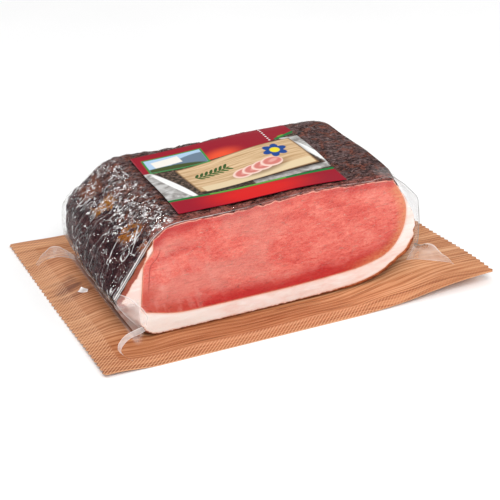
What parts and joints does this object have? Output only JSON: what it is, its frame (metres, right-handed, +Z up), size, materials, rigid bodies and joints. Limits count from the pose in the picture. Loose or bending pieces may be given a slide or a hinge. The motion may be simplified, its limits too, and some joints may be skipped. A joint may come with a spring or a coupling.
{
  "type": "vacuum-packed speck ham piece",
  "caption": "Smoked, air-cured pork loin piece with its fat and rind, cut square at the front, under clear film on a wood-look base sheet with pinked edges and a label on top.",
  "frame": {"origin": "centre of the base sheet's underside, on the surface that the pack stands on", "axes": "+X along the sheet's long side, from the loin's thin sloped flank to its thick round one; -Y is the front, with the cut face; +Z up"},
  "size_m": [0.18, 0.123, 0.053],
  "materials": {
    "base_sheet": "gloss",
    "lean_meat": "satin",
    "fat_layer": "satin",
    "clear_film": "gloss",
    "label": "satin"
  },
  "bodies": {
    "root": {"base_sheet": "base_sheet", "lean_meat": "lean_meat", "fat_layer": "fat_layer", "clear_film": "clear_film", "label": "label"}
  },
  "joints": []
}
